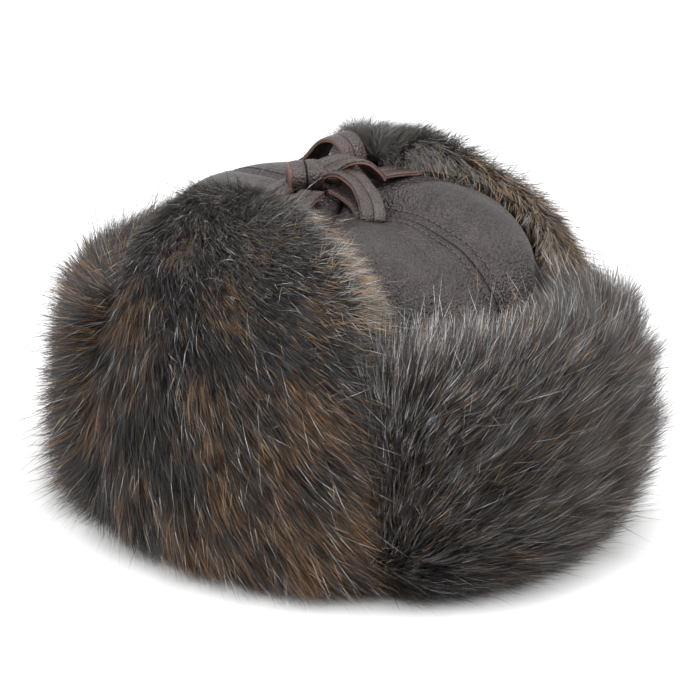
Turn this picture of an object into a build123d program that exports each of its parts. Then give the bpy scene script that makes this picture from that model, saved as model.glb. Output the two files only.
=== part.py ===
"""Trapper hat: a six-gore leather crown with a quilted lining, and a fur-faced
visor, two ear flaps and a neck flap folded up round it, the ear flaps tied over
the top in a bow. Millimetres, +Z up, the face side at -Y, the wearer's right at
-X. The origin is on the crown's axis, on the plane that the hat rests on."""

import math
import os

from build123d import *

os.makedirs("parts", exist_ok=True)

# ---------------------------------------------------------------- dimensions
OVAL = 0.87  # width over length of the head opening and everything round it
HEAD_LENGTH = 199.0  # inside the lining, front to back, where the brim sits

LEATHER = 1.3  # garment leather
WADDING = 2.2  # quilted interlining
LINING = 0.8  # lining cloth
PLY_GAP = 0.1  # between two layers of one body
BODY_GAP = 0.6  # between the crown and a folded flap

GORES = 6  # crown panels, with a seam at front centre
SEAM_GAP = 0.15  # degrees left between two crown panels

# crown leather, outer face: (radius along Y, height), bottom to top
CROWN = [
    (106.5, 1.2),
    (107.2, 30.0),
    (106.6, 60.0),
    (104.4, 84.0),
    (99.6, 105.0),
    (89.0, 125.0),
    (71.0, 139.5),
    (46.0, 146.8),
    (22.0, 149.0),
    (1.2, 149.8),
]

FACET = 8.0  # degrees round the axis that one flat of a flap's plain solid spans
VISOR_HALF = 44.6  # degrees each side of the face centre
EAR_FRONT, EAR_BACK = 45.4, 117.6  # degrees from the face centre
NECK_START = 118.4

# mean fur surface of each flap: (radius along Y, height), bottom to top
VISOR_FUR = [(146.0, 20.0), (147.5, 42.0), (144.0, 72.0), (135.0, 94.0), (121.0, 108.0)]
NECK_FUR = [(139.0, 18.0), (140.5, 42.0), (139.0, 74.0), (131.0, 97.0), (118.0, 110.0)]
EAR_FUR = [
    (139.0, 18.0),
    (140.5, 42.0),
    (139.0, 74.0),
    (132.0, 100.0),
    (119.5, 122.0),
    (102.0, 139.5),
    (83.0, 150.0),
    (64.0, 156.0),
    (41.0, 158.5),
]
VISOR_TOP = 103.0  # top edge of the visor where it lies on the crown
NECK_TOP = 106.0
TIP_RADIUS = 48.0  # where an ear flap ends on the crown, along Y

HEEL = 12.0  # how far a fur pad's flat foot stops short of its side

STRAP_WIDTH = 10.5  # tie straps, folded and stitched double
STRAP_THICK = 2.6


def crown_line(offset):
    """Points of the crown's outer face, moved outwards by offset."""
    moved = []
    for i, (r, z) in enumerate(CROWN):
        r0, z0 = CROWN[max(i - 1, 0)]
        r1, z1 = CROWN[min(i + 1, len(CROWN) - 1)]
        run = math.hypot(r1 - r0, z1 - z0)
        moved.append((r + offset * (z1 - z0) / run, z - offset * (r1 - r0) / run))
    return moved


def line_to(points, top):
    """The points below the height top, and one more at that height."""
    below = [p for p in points if p[1] < top - 3.0]
    (r0, z0), (r1, z1) = below[-1], points[len(below)]
    return below + [(r0 + (r1 - r0) * (top - z0) / (z1 - z0), top)]


def line_in(points, radius):
    """The points outside the radius, and one more at that radius."""
    outside = [p for p in points if p[0] > radius + 3.0]
    (r0, z0), (r1, z1) = outside[-1], points[len(outside)]
    return outside + [(radius, z0 + (z1 - z0) * (radius - r0) / (r1 - r0))]


def radial(heading):
    """The upright plane through the axis at a heading in degrees from +X."""
    c, s = math.cos(math.radians(heading)), math.sin(math.radians(heading))
    return Plane(origin=(0, 0, 0), x_dir=(c, s, 0), z_dir=(s, -c, 0))


def band(heading, arc, inner, outer):
    """A shell turned through arc degrees between two lines of points, both given
    bottom to top."""
    with BuildPart() as turned:
        with BuildSketch(radial(heading)):
            with BuildLine():
                Spline(*outer)
                Spline(*inner)
                Line(outer[-1], inner[-1])
                Line(inner[0], outer[0])
            make_face()
        revolve(axis=Axis.Z, revolution_arc=arc)
        scale(by=(OVAL, 1, 1))
    return turned.part


def flat_band(heading, arc, section, stretched):
    """A solid of flat faces round the axis from heading through arc degrees.
    section is its closed outline, (radius, height) points anticlockwise seen with
    the axis at the left. The first points, as many as stretched says, are on the
    face towards the crown: they stand out so that each flat clears the curve."""
    steps = max(4, round(arc / FACET))
    clear = 1 / math.cos(math.radians(arc / steps / 2))
    rings = []
    for i in range(steps + 1):
        turn = math.radians(heading + arc * i / steps)
        ring = []
        for k, (r, z) in enumerate(section):
            r *= clear if k < stretched else 1.0
            ring.append((OVAL * r * math.cos(turn), r * math.sin(turn), z))
        rings.append(ring)
    faces = [Face(Wire.make_polygon(ring)) for ring in (rings[0], rings[-1])]
    for near, far in zip(rings, rings[1:]):
        for k in range(len(section)):
            n = (k + 1) % len(section)
            faces.append(Face(Wire.make_polygon([near[k], far[k], far[n], near[n]])))
    return Solid(Shell(faces))


# --------------------------------------------------------------------- crown
# Six leather gores meet at the top; their lower edges stand in the hem binding.
GORE_NAMES = [
    "gore_front_left",
    "gore_side_left",
    "gore_back_left",
    "gore_back_right",
    "gore_side_right",
    "gore_front_right",
]
for number, name in enumerate(GORE_NAMES):
    with BuildPart() as gore:
        add(
            band(
                270 + 60 * number + SEAM_GAP,
                360 / GORES - 2 * SEAM_GAP,
                crown_line(-LEATHER),
                crown_line(0),
            )
        )
    gore.part.label = name
    export_step(gore.part, f"parts/{name}.step")

wadding_face = -LEATHER - PLY_GAP
with BuildPart() as wadding:
    add(band(0, 360, crown_line(wadding_face - WADDING), crown_line(wadding_face)))
wadding.part.label = "crown_wadding"
export_step(wadding.part, "parts/crown_wadding.step")

# The lining is two quilted half domes, joined from front to back.
lining_face = wadding_face - WADDING - PLY_GAP
for name, heading in (("lining_right", 90), ("lining_left", 270)):
    with BuildPart() as lining:
        add(
            band(
                heading + SEAM_GAP,
                180 - 2 * SEAM_GAP,
                crown_line(lining_face - LINING),
                crown_line(lining_face),
            )
        )
    lining.part.label = name
    export_step(lining.part, f"parts/{name}.step")

# The sweatband lines the opening; its inner face is the size of the head.
band_outer = CROWN[0][0] + lining_face - LINING - PLY_GAP
with BuildPart() as sweatband:
    with BuildSketch(Plane.XY.offset(5.0)):
        Ellipse(OVAL * band_outer, band_outer)
        Ellipse(OVAL * HEAD_LENGTH / 2, HEAD_LENGTH / 2, mode=Mode.SUBTRACT)
    extrude(amount=34.0)
sweatband.part.label = "sweatband"
export_step(sweatband.part, "parts/sweatband.step")

# The hem binding is a folded strip round the crown's lower edge.
hem_out, hem_in = CROWN[0][0] + 1.6, band_outer - 0.1
hem_wall = CROWN[0][0] + 0.5
with BuildPart() as hem:
    with BuildSketch():
        Ellipse(OVAL * hem_out, hem_out)
        Ellipse(OVAL * hem_in, hem_in, mode=Mode.SUBTRACT)
    extrude(amount=1.1)
    with BuildSketch(Plane.XY.offset(1.1)):
        Ellipse(OVAL * hem_out, hem_out)
        Ellipse(OVAL * hem_wall, hem_wall, mode=Mode.SUBTRACT)
    extrude(amount=9.0)
hem.part.label = "hem_binding"
export_step(hem.part, "parts/hem_binding.step")

# --------------------------------------------------------------------- flaps
# Each flap folds up from the hem: leather against the crown, fur outside.
ply_in = BODY_GAP + 1.6
ply_out = ply_in + LEATHER
fur_in = ply_out + PLY_GAP


def ply_section(line_in_to, line_out_to):
    """Outline of one ply between two lines, both bottom to top, down to the floor."""
    foot_in, foot_out = (line_in_to[0][0], 0.0), (line_out_to[0][0], 0.0)
    return [foot_in, *line_in_to, *reversed(line_out_to), foot_out]


def fur_section(line_in_to, fur_line):
    """Outline of a fur pad, with a flat foot and a rounded heel."""
    (r, z), foot_in = fur_line[0], (line_in_to[0][0], 0.0)
    heel = [(r - 4.0, 0.3 * z), (r - HEEL, 0.0)]
    return [foot_in, *line_in_to, *reversed(fur_line), *heel]


def round_flap(name, heading, arc, fur_line, top):
    """A visor or neck flap: one leather ply and one fur pad round the crown."""
    lines = [line_to(crown_line(gap), top) for gap in (ply_in, ply_out, fur_in)]
    with BuildPart() as leather:
        section = ply_section(lines[0], lines[1])
        add(flat_band(heading, arc, section, len(section)))
    leather.part.label = f"{name}_leather"
    export_step(leather.part, f"parts/{name}_leather.step")
    with BuildPart() as fur:
        section = fur_section(lines[2], fur_line)
        add(flat_band(heading, arc, section, len(lines[2]) + 1))
    fur.part.label = f"{name}_fur"
    export_step(fur.part, f"parts/{name}_fur.step")


round_flap("visor", 270 - VISOR_HALF, 2 * VISOR_HALF, VISOR_FUR, VISOR_TOP)
round_flap("neck_flap", NECK_START - 90, 360 - 2 * NECK_START, NECK_FUR, NECK_TOP)


def ear_outline(side):
    """Corners of an ear flap seen from above: it narrows to a tip over the crown."""
    front, back = math.radians(EAR_FRONT), math.radians(EAR_BACK)
    corners = [
        (300.0 * math.sin(front - 0.2), -300.0 * math.cos(front - 0.2)),
        (96.0 * math.sin(front - 0.01), -96.0 * math.cos(front - 0.01)),
        (65.0, -43.0),
        (57.0, -24.0),
        (TIP_RADIUS, -14.0),
        (TIP_RADIUS, 20.0),
        (58.0, 40.0),
        (96.0 * math.sin(back + 0.01), -96.0 * math.cos(back + 0.01)),
        (300.0 * math.sin(back + 0.2), -300.0 * math.cos(back + 0.2)),
    ]
    return [(side * OVAL * x, y) for x, y in corners]


def ear_layer(side, section, stretched):
    """One layer of an ear flap, cut to the outline seen from above."""
    heading = 270 + EAR_FRONT if side > 0 else 270 - EAR_BACK
    with BuildPart() as layer:
        add(flat_band(heading, EAR_BACK - EAR_FRONT, section, stretched))
        with BuildSketch():
            with BuildLine():
                Polyline(*ear_outline(side), close=True)
            make_face()
        extrude(amount=220.0, mode=Mode.INTERSECT)
    return layer.part


run_out = TIP_RADIUS - 6.0  # the layers run past the tip before they are cut
for name, side in (("ear_flap_right", -1), ("ear_flap_left", 1)):
    lines = [line_in(crown_line(gap), run_out) for gap in (ply_in, ply_out, fur_in)]
    with BuildPart() as ear_leather:
        section = ply_section(lines[0], lines[1])
        add(ear_layer(side, section, len(section)))
    ear_leather.part.label = f"{name}_leather"
    export_step(ear_leather.part, f"parts/{name}_leather.step")
    with BuildPart() as ear_fur:
        section = fur_section(lines[2], EAR_FUR)
        add(ear_layer(side, section, len(lines[2]) + 1))
    ear_fur.part.label = f"{name}_fur"
    export_step(ear_fur.part, f"parts/{name}_fur.step")

# ---------------------------------------------------------------------- ties
# A strap from each ear flap's tip runs to the bow tied over the crown's top.


def strap_run(start, end, width, thick):
    """A straight length of folded strap between two points of its centre."""
    a, b = Vector(*start), Vector(*end)
    along = (b - a).normalized()
    across = Vector(0, 0, 1).cross(along).normalized()
    with BuildPart() as run:
        with BuildSketch(Plane(origin=start, x_dir=tuple(across), z_dir=tuple(along))):
            RectangleRounded(width, thick, 0.45 * thick)
        extrude(amount=(b - a).length)
    return run.part


def strap_arch(start, top, end, width, thick):
    """A strap that rises from start over top to end in one upright arc."""
    a, b = Vector(*start), Vector(*end)
    flat = Vector(b.X - a.X, b.Y - a.Y, 0).normalized()
    plane = Plane(origin=start, x_dir=tuple(flat), z_dir=(flat.Y, -flat.X, 0))
    far = math.hypot(b.X - a.X, b.Y - a.Y)
    mid = math.hypot(top[0] - a.X, top[1] - a.Y)
    with BuildPart() as arch:
        with BuildSketch(plane):
            with BuildLine() as centre:
                ThreePointArc((0, 0), (mid, top[2] - a.Z), (far, b.Z - a.Z))
            trace(centre.line, thick)
        extrude(amount=width / 2, both=True)
    return arch.part


with BuildPart() as tie_right:
    add(strap_run((-39.4, -3.0, 150.6), (-13.6, 6.0, 152.6), STRAP_WIDTH, STRAP_THICK))
tie_right.part.label = "tie_right"
export_step(tie_right.part, "parts/tie_right.step")

with BuildPart() as tie_left:
    add(strap_run((39.4, -3.0, 151.8), (25.0, -1.0, 153.6), STRAP_WIDTH, STRAP_THICK))
tie_left.part.label = "tie_left"
export_step(tie_left.part, "parts/tie_left.step")

# the knot: one strap wrapped round the others
with BuildPart() as knot:
    with BuildSketch(Plane(origin=(-9.0, 24.5, 157.4), z_dir=(0.78, -0.62, 0))):
        Ellipse(6.6, 6.2)
    extrude(amount=12.5)
    fillet(knot.edges().filter_by(GeomType.ELLIPSE), 1.6)
knot.part.label = "bow_knot"
export_step(knot.part, "parts/bow_knot.step")

with BuildPart() as tail:
    add(strap_run((-10.0, 24.0, 153.5), (-21.5, 22.5, 152.4), STRAP_WIDTH, STRAP_THICK))
tail.part.label = "bow_tail"
export_step(tail.part, "parts/bow_tail.step")

# the standing loop behind, seen through its middle
with BuildPart() as back_loop:
    with BuildSketch(Plane(origin=(21.0, 26.0, 162.5), x_dir=(0, 1, 0), z_dir=(1, 0, 0))):
        Ellipse(11.3, 11.5)
        Ellipse(8.9, 9.1, mode=Mode.SUBTRACT)
    extrude(amount=STRAP_WIDTH / 2, both=True)
back_loop.part.label = "bow_loop_back"
export_step(back_loop.part, "parts/bow_loop_back.step")

# the loop that falls forward over the crown
with BuildPart() as front_loop:
    add(strap_arch((1.2, 15.6, 157.0), (-0.8, -6.0, 160.0), (-7.0, -25.0, 153.2), 10.5, 4.8))
front_loop.part.label = "bow_loop_front"
export_step(front_loop.part, "parts/bow_loop_front.step")

# the strap that arches to the left ear flap's tie
with BuildPart() as cross_strap:
    add(strap_arch((3.6, 14.0, 161.8), (12.4, 6.4, 165.2), (22.6, -1.4, 157.6), 7.0, 2.4))
cross_strap.part.label = "bow_strap"
export_step(cross_strap.part, "parts/bow_strap.step")
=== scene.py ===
"""Trapper hat, seen from the wearer's right front, a little above.

A leather crown of six puffed gores, quilted inside, with a fur visor, two ear flaps
and a neck flap folded up round it, and the ear flaps' ties in a bow on top. Shapes are
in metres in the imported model's frame: +Z up, the face side at -Y, the wearer's right
at -X. Sizes in the sections are in millimetres where a name ends in _MM."""

import math

import bpy
import numpy as np
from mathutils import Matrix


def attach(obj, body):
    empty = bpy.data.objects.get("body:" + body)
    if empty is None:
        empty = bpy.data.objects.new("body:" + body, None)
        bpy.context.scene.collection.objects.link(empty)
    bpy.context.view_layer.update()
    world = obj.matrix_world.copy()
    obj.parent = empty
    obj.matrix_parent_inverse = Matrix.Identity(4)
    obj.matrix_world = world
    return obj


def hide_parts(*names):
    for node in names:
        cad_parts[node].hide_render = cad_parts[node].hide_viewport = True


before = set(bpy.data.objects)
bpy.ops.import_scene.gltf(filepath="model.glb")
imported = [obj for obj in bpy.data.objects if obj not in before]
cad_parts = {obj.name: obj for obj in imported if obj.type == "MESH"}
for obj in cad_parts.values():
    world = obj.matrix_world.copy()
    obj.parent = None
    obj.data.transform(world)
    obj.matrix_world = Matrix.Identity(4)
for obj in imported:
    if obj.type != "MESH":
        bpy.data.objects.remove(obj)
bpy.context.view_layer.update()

# ------------------------------------------------------------ camera and room
# A pale table under soft light from all round, with one large lamp overhead, one at
# the left and a weaker one at the right, as in a product studio.
AZIMUTH, ELEVATION, DISTANCE = math.radians(-48), math.radians(21), 1.75
FRAME_WIDTH = 0.3286  # what the picture's width spans at the hat
toward = np.array(
    [
        math.sin(AZIMUTH) * math.cos(ELEVATION),
        -math.cos(AZIMUTH) * math.cos(ELEVATION),
        math.sin(ELEVATION),
    ]
)
target = np.array([0.0206, 0.0138, 0.0640])

camera = bpy.data.objects.new("camera", bpy.data.cameras.new("camera"))
bpy.context.scene.collection.objects.link(camera)
camera.data.sensor_width = 36
camera.data.lens = 36 * DISTANCE / FRAME_WIDTH
camera.data.clip_end = 20
camera.location = target + DISTANCE * toward
camera.rotation_euler = (math.pi / 2 - ELEVATION, 0, AZIMUTH)
bpy.context.scene.camera = camera
bpy.context.scene.view_settings.view_transform = "Standard"


def area_light(name, azimuth, elevation, distance, size, power):
    """A square soft lamp, size m wide and power W strong, that looks at the hat from a
    direction in degrees and a distance in m."""
    a, e = math.radians(azimuth), math.radians(elevation)
    lamp = bpy.data.objects.new(name, bpy.data.lights.new(name, "AREA"))
    bpy.context.scene.collection.objects.link(lamp)
    lamp.data.size, lamp.data.energy = size, power
    away = np.array([math.sin(a) * math.cos(e), -math.cos(a) * math.cos(e), math.sin(e)])
    lamp.location = np.array([0, 0, 0.08]) + distance * away
    lamp.rotation_euler = (math.pi / 2 - e, 0, a)


area_light("lamp_top", -20, 78, 1.1, 0.9, 11.5)
area_light("lamp_left", -105, 38, 1.3, 0.7, 7)
area_light("lamp_right", 25, 30, 1.4, 0.7, 6.3)

world = bpy.data.worlds.new("studio")
bpy.context.scene.world = world
world.use_nodes = True
world.node_tree.nodes["Background"].inputs["Color"].default_value = (1, 1, 1, 1)
world.node_tree.nodes["Background"].inputs["Strength"].default_value = 1.0


def plain(name, colour, roughness=0.5, specular=0.5):
    """A Principled material of one colour."""
    material = bpy.data.materials.new(name)
    material.use_nodes = True
    shader = material.node_tree.nodes["Principled BSDF"]
    shader.inputs["Base Color"].default_value = (*colour, 1)
    shader.inputs["Roughness"].default_value = roughness
    shader.inputs["Specular IOR Level"].default_value = specular
    return material


floor_mesh = bpy.data.meshes.new("floor")
floor_mesh.from_pydata([(-9, -9, 0), (9, -9, 0), (9, 9, 0), (-9, 9, 0)], [], [(0, 1, 2, 3)])
floor = bpy.data.objects.new("floor", floor_mesh)
bpy.context.scene.collection.objects.link(floor)
floor_mesh.materials.append(plain("floor", (0.93, 0.93, 0.93), 0.9, 0.1))

# --------------------------------------------------------------- crown leather
# Six gores of pebbled dark brown leather, padded so that each puffs up between its
# seams, and drawn in at the top, where they meet under the bow.
OVAL = 0.87  # the crown's width over its length
CROWN_MM = [  # radius and height of its side line, from the hem to the top
    (106.5, 1.2),
    (107.2, 30.0),
    (106.6, 60.0),
    (104.4, 84.0),
    (99.6, 105.0),
    (89.0, 125.0),
    (71.0, 139.5),
    (46.0, 146.8),
    (22.0, 149.0),
    (1.2, 149.8),
]
GORES = [  # name and the heading its first seam lies at
    ("gore_front_right", 0),
    ("gore_side_right", 60),
    ("gore_back_right", 120),
    ("gore_back_left", 180),
    ("gore_side_left", 240),
    ("gore_front_left", 300),
]
PUFFS = [  # heading, share up the line, spread in degrees and in share, height in mm
    (322, 0.80, 15, 0.12, 8.0),
    (335, 0.68, 12, 0.10, 5.0),
    (342, 0.59, 12, 0.06, 3.0),
    (284, 0.66, 15, 0.14, 4.5),
    (14, 0.70, 20, 0.16, -0.8),
    (22, 0.92, 30, 0.09, -2.5),
    (168, 0.68, 40, 0.16, 4.0),
]
FOLD = ((300, 0.778), (341, 0.554))  # heading and share of the two ends of the front fold
LEATHER = (0.0300, 0.0208, 0.0208)
LEATHER_MM, SEAM_GAP_DEG = 1.3, 0.12


def smooth_path(points, count=400):
    """Points along a Catmull-Rom curve through the given ones, evenly spaced."""
    p = np.asarray(points, float)
    ends = [2 * p[0] - p[1], *p, 2 * p[-1] - p[-2]]
    p = np.array(ends)
    t = np.linspace(0, 1, 24, endpoint=False)[:, None]
    parts = []
    for a, b, c, d in zip(p, p[1:], p[2:], p[3:]):
        bend = 2 * a - 5 * b + 4 * c - d
        parts.append(b + 0.5 * t * (c - a + t * (bend + t * (3 * b - a - 3 * c + d))))
    dense = np.vstack([*parts, p[-2][None]])
    run = np.r_[0, np.cumsum(np.linalg.norm(np.diff(dense, axis=0), axis=1))]
    s = np.linspace(0, run[-1], count)
    return np.stack([np.interp(s, run, dense[:, k]) for k in range(p.shape[1])], axis=1)


CROWN_LINE = smooth_path(CROWN_MM)


def line_offset(line, gap):
    """A (radius, height) line moved outwards by gap, square to itself."""
    step = np.gradient(line, axis=0)
    step /= np.linalg.norm(step, axis=1)[:, None]
    return line + gap * np.stack([step[:, 1], -step[:, 0]], axis=1)


def at(line, s):
    """Points of a line at shares s of its length."""
    k = np.linspace(0, 1, len(line))
    return np.stack([np.interp(s, k, line[:, 0]), np.interp(s, k, line[:, 1])], axis=-1)


def turned(line_points, degrees):
    """(radius, height) in mm, at degrees from the face towards the wearer's right,
    as points in metres."""
    r, z = line_points[..., 0] / 1000, line_points[..., 1] / 1000
    a = np.radians(degrees)
    x, y, z = np.broadcast_arrays(-OVAL * r * np.sin(a), -r * np.cos(a), z)
    return np.stack([x, y, z], axis=-1)


def pushed(line, s, degrees, mm):
    """Points mm outside a (radius, height) line, square to it, at shares s."""
    k = np.clip(s * 399, 1, 398).astype(int)
    step = line[k + 1] - line[k - 1]
    step = step / np.linalg.norm(step, axis=-1)[..., None]
    normal = np.stack([step[..., 1], -step[..., 0]], -1)
    return turned(at(line, s) + np.asarray(mm)[..., None] * normal, degrees)


def waves(p, size, seed, count=7):
    """Soft noise from -1 to 1: a sum of sine waves of random direction, each about
    size metres long."""
    rng = np.random.default_rng(seed)
    total = np.zeros(p.shape[:-1])
    for _ in range(count):
        way = rng.normal(size=3)
        way /= np.linalg.norm(way) * size * rng.uniform(0.7, 1.5)
        total += np.sin(2 * np.pi * (p @ way) + rng.uniform(0, 6.3))
    return total / math.sqrt(count)


def new_piece(name, points, faces, body, material):
    """A smooth mesh piece that rides on a body, from its points and faces."""
    mesh = bpy.data.meshes.new(name)
    faces = faces.tolist() if isinstance(faces, np.ndarray) else faces
    mesh.from_pydata(np.asarray(points).reshape(-1, 3).tolist(), [], faces)
    mesh.polygons.foreach_set("use_smooth", [True] * len(mesh.polygons))
    for m in material if isinstance(material, list) else [material]:
        mesh.materials.append(m)
    piece = bpy.data.objects.new(name, mesh)
    bpy.context.scene.collection.objects.link(piece)
    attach(piece, body)
    return piece


def tube_faces(rows, columns, closed):
    """Quads over a grid of rows by columns whose columns wrap round, and whose rows
    do too if closed; otherwise the two end rings are filled."""
    i = np.arange(rows if closed else rows - 1)[:, None]
    j = np.arange(columns)[None, :]
    here, there = i * columns, (i + 1) % rows * columns
    n = (j + 1) % columns
    quads = np.stack([here + j, there + j, there + n, here + n], axis=-1).reshape(-1, 4)
    if closed:
        return quads.tolist()
    last = (rows - 1) * columns
    half = columns // 2
    caps = []
    for k in range(half - 1):
        a, b, c, d = k, k + 1, columns - 2 - k, columns - 1 - k
        caps.append([a, b, c, d])
        caps.append([last + d, last + c, last + b, last + a])
    return quads.tolist() + caps


def shell(outer, inner):
    """Points and faces of a closed skin between two grids of the same shape: each
    row goes up the outer face and comes back down the inner one."""
    ring = np.concatenate([outer, inner[:, ::-1]], axis=1)
    faces = np.array(tube_faces(ring.shape[0], ring.shape[1], False))
    points = ring.reshape(-1, 3)
    a, b, c, d = (points[faces[:, k]] for k in range(4))
    volume = np.einsum("ij,ij->", a, np.cross(b, c) + np.cross(c, d))
    return points, faces if volume > 0 else faces[:, ::-1]


def bell(x, middle, width):
    """A bell of height 1 about middle."""
    return np.exp(-(((x - middle) / width) ** 2))


def drawn_in(s):
    """How far the top is pulled down where the gores meet, in mm."""
    return 7.0 * np.clip((s - 0.76) / 0.24, 0, 1) ** 1.4


def folded(degrees, s):
    """The front left gore's slanting fold, in mm: a ridge on its near side that drops
    into a hollow past the line between FOLD's two ends."""
    (h0, s0), (h1, s1) = FOLD
    along = ((degrees - h0 + 180) % 360 - 180) / (h1 - h0)
    past = 165 * (s - s0 - (s1 - s0) * along)
    away_mm = [-30, -17, -8, -2.5, 0, 3, 12, 26]
    ridge = np.interp(past, away_mm, [0, -1.6, -3.2, 0.6, 2.2, 2.8, 1.4, 0])
    ends = np.clip((along + 0.15) / 0.3, 0, 1) * np.clip((1.3 - along) / 0.35, 0, 1)
    return ridge * ends


def crown_surface(degrees, s, depth_mm=0.0):
    """The puffed leather: the crown's line pushed out between the seams in a rounded
    hump, drawn in at each seam and at the top under the bow, with fine gathers that
    run out from there. The hump and its seam are calmer at the front seam's right side,
    where the leather lies smooth. PUFFS adds pillows over single gores."""
    point = at(line_offset(CROWN_LINE, -depth_mm), s)
    share = (degrees % 60) / 60
    hump = 1 - np.abs(2 * share - 1) ** 2.6
    high = np.clip((s - 0.52) / 0.16, 0, 1)
    calm = 1 - 0.9 * bell((degrees - 12 + 180) % 360 - 180, 0, 15) * high
    push = (0.9 + 1.6 * high) * hump * calm - (0.5 + 0.8 * high) * (1 - hump) ** 7 * calm
    for heading, middle, wide, tall, height in PUFFS:
        away = (degrees - heading + 180) % 360 - 180
        push = push + height * bell(away, 0, wide) * bell(s, middle, tall)
    push = push + folded(degrees, s)
    gather = np.clip((s - 0.68) / 0.25, 0, 1) * (1 - np.clip((s - 0.96) / 0.04, 0, 1))
    ripple = np.sin(np.radians(11 * degrees + 40 * s)) + 0.7 * np.sin(np.radians(17 * degrees + 80))
    push = push + 0.45 * gather * ripple
    where = turned(point, degrees)
    push = push + 0.35 * waves(where, 0.035, 3) * np.clip((s - 0.3) / 0.2, 0, 1)
    push = push - drawn_in(s)
    return pushed(line_offset(CROWN_LINE, -depth_mm), s, degrees, push)


def leather(name, colour, grain=0.0010, relief=1.0, roughness=0.31):
    """Pebbled leather: a mottled colour with painted shade, darker in the hollows
    between small raised cells and lighter on their tops, with a soft shine that varies."""
    material = plain(name, colour, roughness, 0.5)
    tree = material.node_tree
    shader = tree.nodes["Principled BSDF"]

    def node(kind, **values):
        made = tree.nodes.new(kind)
        for key, value in values.items():
            made.inputs[key].default_value = value
        return made

    coords = tree.nodes.new("ShaderNodeTexCoord")
    cells = node("ShaderNodeTexVoronoi", Scale=1 / grain, Randomness=1.0)
    cells.feature = "SMOOTH_F1"
    creases = node("ShaderNodeTexNoise", Scale=0.3 / grain, Detail=7.0, Roughness=0.65)
    mottle = node("ShaderNodeTexNoise", Scale=60.0, Detail=6.0, Roughness=0.7)
    for texture in (cells, creases, mottle):
        tree.links.new(coords.outputs["Object"], texture.inputs["Vector"])
    relief_sum = tree.nodes.new("ShaderNodeMath")
    relief_sum.operation = "SUBTRACT"
    tree.links.new(creases.outputs["Fac"], relief_sum.inputs[0])
    tree.links.new(cells.outputs["Distance"], relief_sum.inputs[1])
    bump = node("ShaderNodeBump", Strength=relief, Distance=0.0013)
    tree.links.new(relief_sum.outputs[0], bump.inputs["Height"])
    tree.links.new(bump.outputs["Normal"], shader.inputs["Normal"])
    # Painted shade: the cells' edges, the hollows between them, take the darker end of the colour
    # ramp; random mottle is added on top.
    cell_shade_and_mottle = tree.nodes.new("ShaderNodeMath")
    cell_shade_and_mottle.operation = "MULTIPLY_ADD"
    cell_shade_and_mottle.inputs[1].default_value = 0.45
    tree.links.new(cells.outputs["Distance"], cell_shade_and_mottle.inputs[0])
    tree.links.new(mottle.outputs["Fac"], cell_shade_and_mottle.inputs[2])
    ramp = tree.nodes.new("ShaderNodeValToRGB")
    low, high = ramp.color_ramp.elements
    low.position, high.position = 0.45, 0.85
    low.color = (*(1.5 * c for c in colour), 1)
    high.color = (*(0.45 * c for c in colour), 1)
    tree.links.new(cell_shade_and_mottle.outputs[0], ramp.inputs["Fac"])
    tree.links.new(ramp.outputs["Color"], shader.inputs["Base Color"])
    return material


crown_leather = leather("crown_leather", LEATHER)
for name, start in GORES:
    share = (1 - np.cos(np.linspace(0, math.pi, 49))) / 2
    degrees = start + SEAM_GAP_DEG + (60 - 2 * SEAM_GAP_DEG) * share[:, None]
    s = np.linspace(0, 1, 150)[None, :]
    degrees, s = np.broadcast_arrays(degrees, s)
    points, faces = shell(crown_surface(degrees, s), crown_surface(degrees, s, LEATHER_MM))
    gore = new_piece(name + "_skin", points, faces, "crown", crown_leather)
    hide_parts(name)

# Two lines of top stitching run beside each seam, of thread a shade lighter. Near-black lines sunk
# along the stitching and down each seam are painted shade in their grooves.
STITCH_MM, STITCH_PITCH_MM, THREAD_MM = 2.5, 3.3, 0.26
FROM_SEAM_MM, GROOVE_MM, SEAM_MM = 5.6, 0.32, 0.42


SIX = np.array([[math.cos(a), math.sin(a)] for a in np.radians([0, 60, 120, 180, 240, 300])])


def stitches(name, rows, body, material):
    """Raised stitches along rows of points: each a short capsule laid on its row."""
    ends = np.array([-0.5, -0.4, 0.4, 0.5])[:, None]
    fat = np.array([0.35, 1.0, 1.0, 0.35])[:, None, None] * THREAD_MM / 1000
    sides = tube_faces(4, 6, False)
    points, faces = [], []
    for row, normals in rows:
        run = np.r_[0, np.cumsum(np.linalg.norm(np.diff(row, axis=0), axis=1))]
        for middle in np.arange(STITCH_PITCH_MM / 2000, run[-1], STITCH_PITCH_MM / 1000):
            centre, up = (
                np.array([np.interp(middle, run, grid[:, k]) for k in range(3)])
                for grid in (row, normals)
            )
            along = np.array([np.interp(middle + 1e-3, run, row[:, k]) for k in range(3)]) - centre
            along /= max(np.linalg.norm(along), 1e-9)
            side = np.cross(along, up)
            line = centre + ends * STITCH_MM / 1000 * along
            spread = SIX[:, :1] * side + SIX[:, 1:] * up
            faces += [[24 * len(points) + k for k in face] for face in sides]
            points.append((line[:, None] + fat * spread).reshape(-1, 3))
    new_piece(name, np.vstack(points), faces, body, material)


def surface_row(surface, degrees, s, lift_mm):
    """Points and outward normals of a surface along arrays of degrees and s."""
    here = surface(degrees, s)
    du = surface(degrees + 0.2, s) - here
    dv = surface(degrees, s + 0.002) - here
    normal = np.cross(dv, du)
    normal /= np.linalg.norm(normal, axis=-1)[..., None]
    out = here - np.array([0, 0, 0.03])
    normal *= np.sign(np.einsum("ij,ij->i", normal, out))[:, None]
    return here + lift_mm / 1000 * normal, normal


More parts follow.
